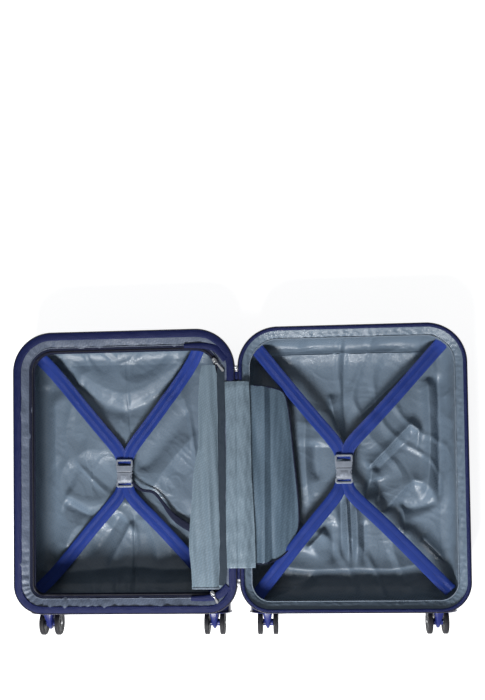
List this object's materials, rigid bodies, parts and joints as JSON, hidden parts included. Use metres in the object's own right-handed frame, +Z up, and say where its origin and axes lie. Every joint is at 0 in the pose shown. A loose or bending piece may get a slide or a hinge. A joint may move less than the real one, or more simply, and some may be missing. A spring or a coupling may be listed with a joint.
{
  "type": "hard shell suitcase on wheels",
  "caption": "Zipped cabin-size hard shell suitcase lying open flat, with lined halves, cross straps, divider, telescopic handle and twin-wheel spinner casters.",
  "frame": {"origin": "bottom centre of the open suitcase, on the floor under the hinge line, halfway along its length with the wheels", "axes": "+Z up out of the open halves; +Y along the case from the wheels to the handle end; +X from the hinge line towards the back half with the trolley handle"},
  "size_m": [0.8, 0.55, 0.101],
  "materials": {
    "shell": "moulded polycarbonate, satin gloss, fine texture",
    "lining": "satin jacquard polyester lining",
    "cover": "lighter lining fabric",
    "tape": "woven zip tape",
    "webbing": "woven polyester webbing",
    "buckle": "moulded acetal",
    "black_plastic": "moulded, fine texture",
    "fork_plastic": "moulded nylon, satin gloss",
    "tread": "moulded polyurethane tread",
    "steel": "plated steel",
    "tube": "anodised, satin"
  },
  "bodies": {
    "back_half": {"back_shell": "shell", "back_lining": "lining", "back_zip_tape": "tape", "carry_handle_pocket": "black_plastic", "trolley_base": "black_plastic", "trolley_tray": "black_plastic", "trolley_outer_tube_a": "tube", "trolley_outer_tube_b": "tube", "lock_body": "black_plastic", "back_strap_upper": "webbing", "back_strap_lower": "webbing", "back_buckle_socket": "buckle", "side_pocket": "cover", "hinge_strip": "tape", "hinge_cover": "cover", "back_inner_caster_housing": "shell", "back_outer_caster_housing": "shell"},
    "front_half": {"front_shell": "shell", "front_lining": "lining", "front_zip_tape": "tape", "divider_zip": "black_plastic", "front_strap_upper": "webbing", "front_strap_lower": "webbing", "front_buckle_socket": "buckle", "divider_curtain": "cover", "front_inner_caster_housing": "shell", "front_outer_caster_housing": "shell"},
    "carry_handle": {"carry_handle": "shell"},
    "trolley_middle": {"trolley_middle_tube_a": "tube", "trolley_middle_tube_b": "tube"},
    "trolley_handle": {"trolley_inner_tube_a": "tube", "trolley_inner_tube_b": "tube", "trolley_grip": "black_plastic"},
    "trolley_button": {"trolley_button": "buckle"},
    "lock_dial_1": {"lock_dial_1": "buckle"},
    "lock_dial_2": {"lock_dial_2": "buckle"},
    "lock_dial_3": {"lock_dial_3": "buckle"},
    "lock_button": {"lock_button": "steel"},
    "back_buckle_plug": {"back_buckle_plug": "buckle"},
    "front_buckle_plug": {"front_buckle_plug": "buckle"},
    "main_slider_top": {"main_slider_top": "steel"},
    "main_slider_foot": {"main_slider_foot": "steel"},
    "divider_slider_top": {"divider_slider_top": "steel"},
    "divider_slider_foot": {"divider_slider_foot": "steel"},
    "back_inner_caster_fork": {"back_inner_caster_fork": "fork_plastic"},
    "back_inner_caster_wheels": {"back_inner_caster_axle": "steel", "back_inner_caster_wheel_a": "tread", "back_inner_caster_wheel_b": "tread"},
    "back_outer_caster_fork": {"back_outer_caster_fork": "fork_plastic"},
    "back_outer_caster_wheels": {"back_outer_caster_axle": "steel", "back_outer_caster_wheel_a": "tread", "back_outer_caster_wheel_b": "tread"},
    "front_inner_caster_fork": {"front_inner_caster_fork": "fork_plastic"},
    "front_inner_caster_wheels": {"front_inner_caster_axle": "steel", "front_inner_caster_wheel_a": "tread", "front_inner_caster_wheel_b": "tread"},
    "front_outer_caster_fork": {"front_outer_caster_fork": "fork_plastic"},
    "front_outer_caster_wheels": {"front_outer_caster_axle": "steel", "front_outer_caster_wheel_a": "tread", "front_outer_caster_wheel_b": "tread"}
  },
  "joints": [
    {"name": "case_hinge", "type": "hinge", "parent": "back_half", "child": "front_half", "pos_m": [0, 0, 0.0995], "axis": [0, 1, 0], "range_deg": [0, 180], "deforming": ["hinge_strip", "hinge_cover"]},
    {"name": "trolley_lower_stage", "type": "slide", "parent": "back_half", "child": "trolley_middle", "axis": [0, 1, 0], "range_m": [0, 0.24]},
    {"name": "trolley_upper_stage", "type": "slide", "parent": "trolley_middle", "child": "trolley_handle", "axis": [0, 1, 0], "range_m": [0, 0.24]},
    {"name": "trolley_button_press", "type": "slide", "parent": "trolley_handle", "child": "trolley_button", "axis": [0, -1, 0], "range_m": [0, 0.003], "stiffness_N_per_m": 300},
    {"name": "carry_handle_pull", "type": "slide", "parent": "back_half", "child": "carry_handle", "axis": [0, 1, 0], "range_m": [0, 0.007]},
    {"name": "lock_button_press", "type": "slide", "parent": "back_half", "child": "lock_button", "axis": [-1, 0, 0], "range_m": [0, 0.003], "stiffness_N_per_m": 300},
    {"name": "back_buckle_release", "type": "slide", "parent": "back_half", "child": "back_buckle_plug", "axis": [0, 1, 0], "range_m": [0, 0.022], "deforming": ["back_strap_upper"]},
    {"name": "front_buckle_release", "type": "slide", "parent": "front_half", "child": "front_buckle_plug", "axis": [0, 1, 0], "range_m": [0, 0.022], "deforming": ["front_strap_upper"]},
    {"name": "main_slider_top_run", "type": "hinge", "parent": "back_half", "child": "main_slider_top", "pos_m": [0.073, 0.201, 0.098], "axis": [0, 0, -1], "range_deg": [0, 90]},
    {"name": "main_slider_foot_run", "type": "hinge", "parent": "back_half", "child": "main_slider_foot", "pos_m": [0.055, -0.178, 0.098], "axis": [0, 0, 1], "range_deg": [0, 50]},
    {"name": "divider_slider_top_run", "type": "hinge", "parent": "front_half", "child": "divider_slider_top", "pos_m": [-0.073, 0.201, 0.09], "axis": [0, 0, 1], "range_deg": [0, 60]},
    {"name": "divider_slider_foot_run", "type": "hinge", "parent": "front_half", "child": "divider_slider_foot", "pos_m": [-0.055, -0.178, 0.09], "axis": [0, 0, -1], "range_deg": [0, 30]},
    {"name": "lock_dial_1_turn", "type": "hinge", "parent": "back_half", "child": "lock_dial_1", "pos_m": [0.3933, 0.0035, 0.071], "axis": [0, 1, 0], "continuous": true},
    {"name": "lock_dial_2_turn", "type": "hinge", "parent": "back_half", "child": "lock_dial_2", "pos_m": [0.3933, 0.0105, 0.071], "axis": [0, 1, 0], "continuous": true},
    {"name": "lock_dial_3_turn", "type": "hinge", "parent": "back_half", "child": "lock_dial_3", "pos_m": [0.3933, 0.0175, 0.071], "axis": [0, 1, 0], "continuous": true},
    {"name": "back_inner_caster_swivel", "type": "hinge", "parent": "back_half", "child": "back_inner_caster_fork", "pos_m": [0.048, 0, 0.05], "axis": [0, 1, 0], "continuous": true},
    {"name": "back_inner_caster_spin", "type": "hinge", "parent": "back_inner_caster_fork", "child": "back_inner_caster_wheels", "pos_m": [0.048, -0.253, 0.036], "axis": [1, 0, 0], "continuous": true},
    {"name": "back_outer_caster_swivel", "type": "hinge", "parent": "back_half", "child": "back_outer_caster_fork", "pos_m": [0.35, 0, 0.05], "axis": [0, 1, 0], "continuous": true},
    {"name": "back_outer_caster_spin", "type": "hinge", "parent": "back_outer_caster_fork", "child": "back_outer_caster_wheels", "pos_m": [0.35, -0.253, 0.036], "axis": [1, 0, 0], "continuous": true},
    {"name": "front_inner_caster_swivel", "type": "hinge", "parent": "front_half", "child": "front_inner_caster_fork", "pos_m": [-0.048, 0, 0.05], "axis": [0, 1, 0], "continuous": true},
    {"name": "front_inner_caster_spin", "type": "hinge", "parent": "front_inner_caster_fork", "child": "front_inner_caster_wheels", "pos_m": [-0.048, -0.253, 0.036], "axis": [1, 0, 0], "continuous": true},
    {"name": "front_outer_caster_swivel", "type": "hinge", "parent": "front_half", "child": "front_outer_caster_fork", "pos_m": [-0.35, 0, 0.05], "axis": [0, 1, 0], "continuous": true},
    {"name": "front_outer_caster_spin", "type": "hinge", "parent": "front_outer_caster_fork", "child": "front_outer_caster_wheels", "pos_m": [-0.35, -0.253, 0.036], "axis": [1, 0, 0], "continuous": true}
  ]
}
